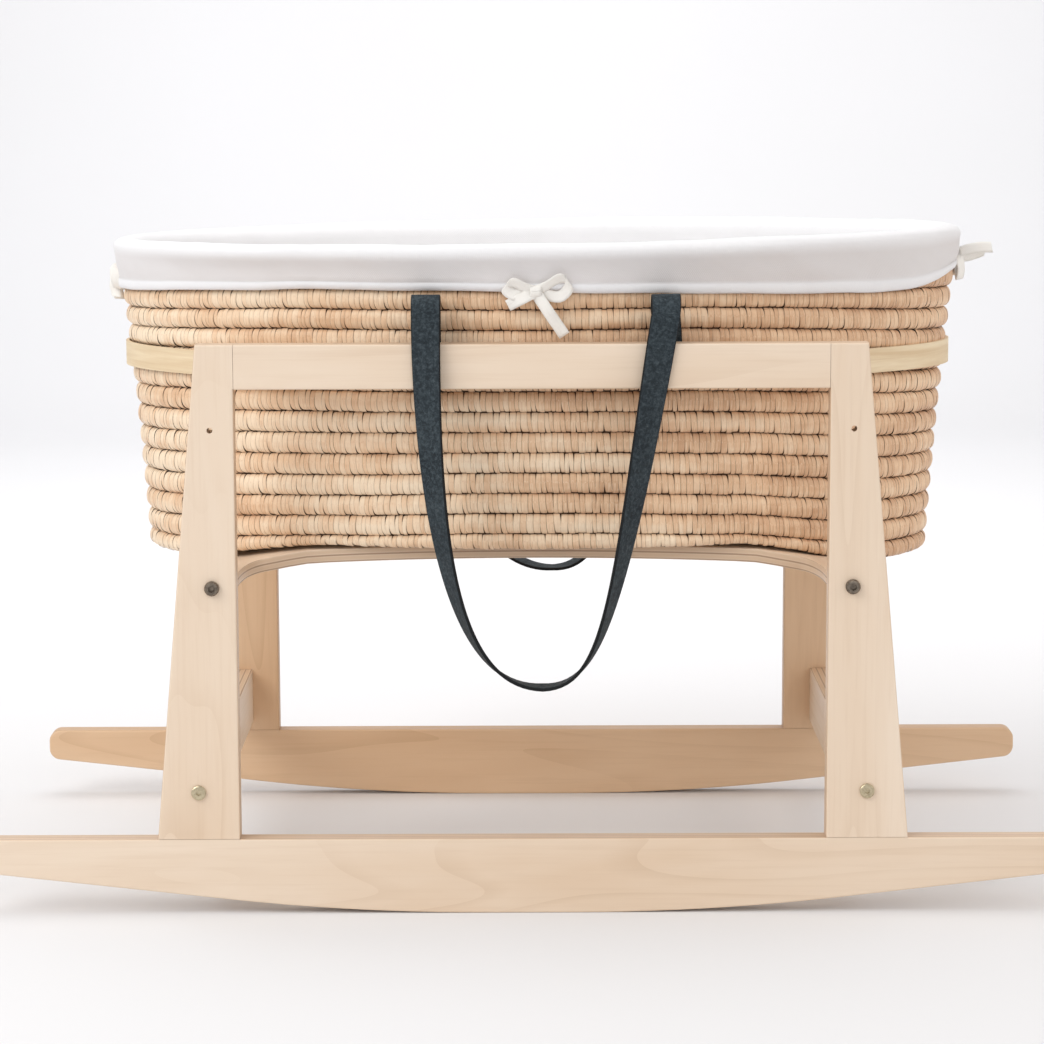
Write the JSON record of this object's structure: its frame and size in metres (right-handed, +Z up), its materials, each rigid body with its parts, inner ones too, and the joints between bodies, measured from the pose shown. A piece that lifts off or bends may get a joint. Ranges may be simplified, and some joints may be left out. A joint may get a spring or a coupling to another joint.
{
  "type": "bassinet on stand",
  "caption": "Coiled palm-leaf basket with liner, mattress and strap handles, lifting off a rocking plywood stand with curved rockers, bent seat and end hoops.",
  "frame": {"origin": "on the floor under the middle of the stand", "axes": "+X towards the head end, -Y towards the front side, +Z up"},
  "size_m": [0.984, 0.5348, 0.5903],
  "materials": {
    "birch": "satin clear-lacquered birch plywood face",
    "plywood": "satin birch plywood with its layered edges showing",
    "ash": "satin bent strip of pale yellow wood",
    "beech": "plain turned dowel",
    "palm_leaf": "dry coiled palm leaf, wrapped in narrow strips",
    "cotton": "soft white cotton",
    "tape": "cream cotton tape",
    "ticking": "off-white cotton mattress cover",
    "leather": "worn dark slate leather with black edges",
    "bronze": "dark bronze cap screws",
    "brass": "brass-coloured bolts",
    "zinc": "dull zinc plate"
  },
  "bodies": {
    "stand": {"front_leg_left": "birch", "front_rail_dowel_left": "beech", "front_rocker_dowel_left": "beech", "front_leg_right": "birch", "front_rail_dowel_right": "beech", "front_rocker_dowel_right": "beech", "front_rocker": "birch", "front_rail": "birch", "rear_leg_left": "birch", "rear_rail_dowel_left": "beech", "rear_rocker_dowel_left": "beech", "rear_leg_right": "birch", "rear_rail_dowel_right": "beech", "rear_rocker_dowel_right": "beech", "rear_rocker": "birch", "rear_rail": "birch", "seat": "plywood", "brace_left": "plywood", "brace_right": "plywood", "front_upper_bolt_left": "bronze", "front_upper_insert_left": "zinc", "front_lower_bolt_left": "brass", "front_lower_insert_left": "zinc", "front_upper_bolt_right": "bronze", "front_upper_insert_right": "zinc", "front_lower_bolt_right": "brass", "front_lower_insert_right": "zinc", "rear_upper_bolt_left": "bronze", "rear_upper_insert_left": "zinc", "rear_lower_bolt_left": "brass", "rear_lower_insert_left": "zinc", "rear_upper_bolt_right": "bronze", "rear_upper_insert_right": "zinc", "rear_lower_bolt_right": "brass", "rear_lower_insert_right": "zinc", "hoop_left": "ash", "front_hoop_screw_left": "zinc", "rear_hoop_screw_left": "zinc", "hoop_right": "ash", "front_hoop_screw_right": "zinc", "rear_hoop_screw_right": "zinc"},
    "basket": {"basket": "palm_leaf", "liner": "cotton", "front_handle_tab_left": "leather", "front_handle_tab_right": "leather", "rear_handle_tab_left": "leather", "rear_handle_tab_right": "leather", "front_bow": "tape", "rear_bow": "tape", "foot_bow": "tape", "head_bow": "tape"},
    "front_handle": {"front_handle": "leather"},
    "rear_handle": {"rear_handle": "leather"},
    "mattress": {"mattress": "ticking"}
  },
  "joints": [
    {"name": "basket_lift", "type": "slide", "parent": "stand", "child": "basket", "axis": [0, 0, 1], "range_m": [0, 0.3]},
    {"name": "mattress_lift", "type": "slide", "parent": "basket", "child": "mattress", "axis": [0, 0, 1], "range_m": [0, 0.3]},
    {"name": "front_handle_swing", "type": "hinge", "parent": "basket", "child": "front_handle", "pos_m": [0.01225, -0.2437, 0.5295], "axis": [-1, 0, 0], "range_deg": [0, 180]},
    {"name": "rear_handle_swing", "type": "hinge", "parent": "basket", "child": "rear_handle", "pos_m": [0.0125, 0.2437, 0.5295], "axis": [1, 0, 0], "range_deg": [0, 180]}
  ]
}
